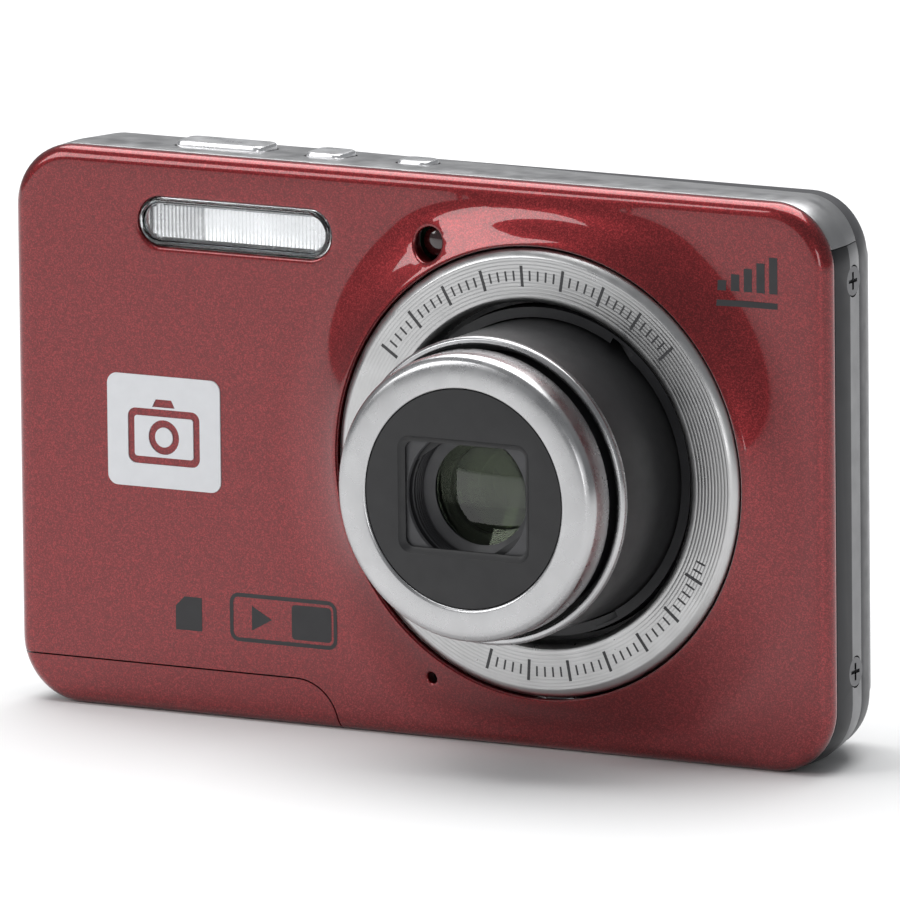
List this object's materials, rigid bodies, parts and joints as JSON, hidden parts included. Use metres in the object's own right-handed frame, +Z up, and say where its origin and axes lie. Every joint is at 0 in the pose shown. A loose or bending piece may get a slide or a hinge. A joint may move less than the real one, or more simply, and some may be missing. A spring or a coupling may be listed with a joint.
{
  "type": "compact digital camera",
  "caption": "Pocket digital camera with a retracting two-stage zoom lens, built-in flash, rear screen, press keys and a battery door.",
  "frame": {"origin": "middle of the camera's box on its base plane, with the lens extended", "axes": "+X to the right as seen from the front, -Y the way the lens points, +Z up"},
  "size_m": [0.0914, 0.0348, 0.057],
  "materials": {
    "red_paint": "metallic red lacquer under clear coat",
    "frame_metal": "satin grey",
    "top_metal": "satin grey",
    "rear_plastic": "fine grain, dark grey",
    "screen_trim": "satin dark grey",
    "screen_gloss": "black gloss window",
    "panel_dark": "display module",
    "steel": "stamped sheet",
    "screw_steel": "dark plated",
    "badge_white": "white print",
    "bezel_metal": "turned with fine rings",
    "ring_metal": "satin anodised",
    "barrel_grey": "satin dark grey",
    "lens_black": "matt black",
    "plate_grey": "satin dark grey",
    "optical_glass": "coated",
    "brass": "turned",
    "white_plastic": "moulded",
    "motor_steel": "plated",
    "board_green": "solder mask",
    "flash_clear": "clear ribbed",
    "reflector": "bright",
    "tube_glass": "clear",
    "cap_sleeve": "shrink sleeve",
    "lamp_lens": "dark clear red",
    "black_part": "moulded",
    "rubber": "soft flap",
    "battery_wrap": "wrapped cell",
    "card_blue": "moulded",
    "key_silver": "satin plated",
    "key_grey": "satin"
  },
  "bodies": {
    "camera": {"front_shell": "red_paint", "top_cover": "top_metal", "mid_frame": "frame_metal", "back_shell": "rear_plastic", "screen_frame": "screen_trim", "screen_window": "screen_gloss", "tripod_bush": "steel", "side_screws": "screw_steel", "bottom_screws": "screw_steel", "badge": "badge_white", "lens_bezel": "bezel_metal", "flash_window": "flash_clear", "af_lamp_lens": "lamp_lens", "strap_bar": "steel", "lcd_module": "panel_dark", "chassis_plate": "steel", "guide_rods": "steel", "image_sensor": "board_green", "sensor_filter": "optical_glass", "zoom_motor": "motor_steel", "flash_reflector": "reflector", "flash_tube": "tube_glass", "flash_capacitor": "cap_sleeve", "mic_capsule": "black_part", "speaker": "black_part", "main_board": "board_green", "top_board": "board_green", "usb_receptacle": "steel", "battery": "battery_wrap", "memory_card": "card_blue", "battery_case": "black_part", "lens_base": "lens_black"},
    "cam_ring": {"cam_ring": "black_part"},
    "barrel_1": {"barrel_1": "barrel_grey", "barrel_1_trim": "ring_metal"},
    "barrel_2": {"barrel_2": "lens_black", "cap_ring": "ring_metal", "faceplate": "lens_black", "blade_cover": "plate_grey", "front_element": "optical_glass", "element_retainer": "plate_grey", "second_element": "optical_glass", "shutter_unit": "lens_black"},
    "blade_upper": {"blade_upper": "lens_black"},
    "blade_lower": {"blade_lower": "lens_black"},
    "focus_group": {"focus_carriage": "black_part", "focus_element": "optical_glass"},
    "motor_pinion": {"motor_pinion": "brass"},
    "idler_gear": {"idler_gear": "white_plastic"},
    "door_carrier": {"door_carrier": "steel"},
    "battery_door": {"battery_door": "red_paint"},
    "port_cover": {"port_cover": "rubber"},
    "shutter_button": {"shutter_button": "key_silver"},
    "power_button": {"power_button": "key_silver"},
    "mode_button": {"mode_button": "key_silver"},
    "zoom_rocker": {"zoom_rocker": "key_silver"},
    "nav_ring": {"nav_ring": "key_grey"},
    "ok_button": {"ok_button": "key_silver"},
    "menu_button": {"menu_button": "key_grey"},
    "play_button": {"play_button": "key_grey"}
  },
  "joints": [
    {"name": "barrel_1_extend", "type": "slide", "parent": "camera", "child": "barrel_1", "axis": [0, -1, 0], "range_m": [-0.0097, 0]},
    {"name": "cam_ring_turn", "type": "hinge", "parent": "camera", "child": "cam_ring", "pos_m": [0.0146, 0, 0.0281], "axis": [0, -1, 0], "range_deg": [-60, 0]},
    {"name": "idler_spin", "type": "hinge", "parent": "camera", "child": "idler_gear", "pos_m": [-0.00321, 0, 0.01697], "axis": [0, -1, 0], "range_deg": [0, 240]},
    {"name": "pinion_spin", "type": "hinge", "parent": "camera", "child": "motor_pinion", "pos_m": [-0.00524, 0, 0.01138], "axis": [0, -1, 0], "range_deg": [-576, 0]},
    {"name": "barrel_2_extend", "type": "slide", "parent": "barrel_1", "child": "barrel_2", "axis": [0, -1, 0], "range_m": [-0.0022, 0.005]},
    {"name": "blade_upper_turn", "type": "hinge", "parent": "barrel_2", "child": "blade_upper", "pos_m": [0.0036, 0, 0.0295], "axis": [0, -1, 0], "range_deg": [-34, 0]},
    {"name": "blade_lower_turn", "type": "hinge", "parent": "barrel_2", "child": "blade_lower", "pos_m": [0.0256, 0, 0.0267], "axis": [0, -1, 0], "range_deg": [-34, 0]},
    {"name": "focus_slide", "type": "slide", "parent": "camera", "child": "focus_group", "axis": [0, -1, 0], "range_m": [-0.0012, 0.0006]},
    {"name": "door_slide", "type": "slide", "parent": "camera", "child": "door_carrier", "axis": [-1, 0, 0], "range_m": [0, 0.0025]},
    {"name": "door_swing", "type": "hinge", "parent": "door_carrier", "child": "battery_door", "pos_m": [-0.028, 0.0118, 0.0016], "axis": [1, 0, 0], "range_deg": [0, 80]},
    {"name": "port_cover_swing", "type": "hinge", "parent": "camera", "child": "port_cover", "pos_m": [-0.04475, 0.0089, 0.0456], "axis": [0, 0, 1], "range_deg": [0, 100]},
    {"name": "shutter_press", "type": "slide", "parent": "camera", "child": "shutter_button", "axis": [0, 0, -1], "range_m": [0, 0.0005], "stiffness_N_per_m": 800, "springref_m": -0.0006},
    {"name": "power_press", "type": "slide", "parent": "camera", "child": "power_button", "axis": [0, 0, -1], "range_m": [0, 0.0004], "stiffness_N_per_m": 1200, "springref_m": -0.0004},
    {"name": "mode_press", "type": "slide", "parent": "camera", "child": "mode_button", "axis": [0, 0, -1], "range_m": [0, 0.0004], "stiffness_N_per_m": 1200, "springref_m": -0.0004},
    {"name": "zoom_tilt", "type": "hinge", "parent": "camera", "child": "zoom_rocker", "pos_m": [-0.0322, 0.0137, 0.047], "axis": [0, 0, 1], "range_deg": [-3, 3], "stiffness_Nm_per_rad": 0.03},
    {"name": "nav_press", "type": "slide", "parent": "camera", "child": "nav_ring", "axis": [0, -1, 0], "range_m": [0, 0.0004], "stiffness_N_per_m": 1200, "springref_m": -0.0004},
    {"name": "ok_press", "type": "slide", "parent": "camera", "child": "ok_button", "axis": [0, -1, 0], "range_m": [0, 0.0004], "stiffness_N_per_m": 1200, "springref_m": -0.0004},
    {"name": "menu_press", "type": "slide", "parent": "camera", "child": "menu_button", "axis": [0, -1, 0], "range_m": [0, 0.0004], "stiffness_N_per_m": 1200, "springref_m": -0.0004},
    {"name": "play_press", "type": "slide", "parent": "camera", "child": "play_button", "axis": [0, -1, 0], "range_m": [0, 0.0004], "stiffness_N_per_m": 1200, "springref_m": -0.0004}
  ],
  "couplings": [
    {"joint": "cam_ring_turn", "follows": "barrel_1_extend", "rad_per_m": 107.96},
    {"joint": "idler_spin", "follows": "barrel_1_extend", "rad_per_m": -431.83},
    {"joint": "pinion_spin", "follows": "barrel_1_extend", "rad_per_m": 1036.4},
    {"joint": "blade_upper_turn", "follows": "barrel_1_extend", "rad_per_m": 61.176},
    {"joint": "blade_lower_turn", "follows": "barrel_1_extend", "rad_per_m": 61.176}
  ]
}
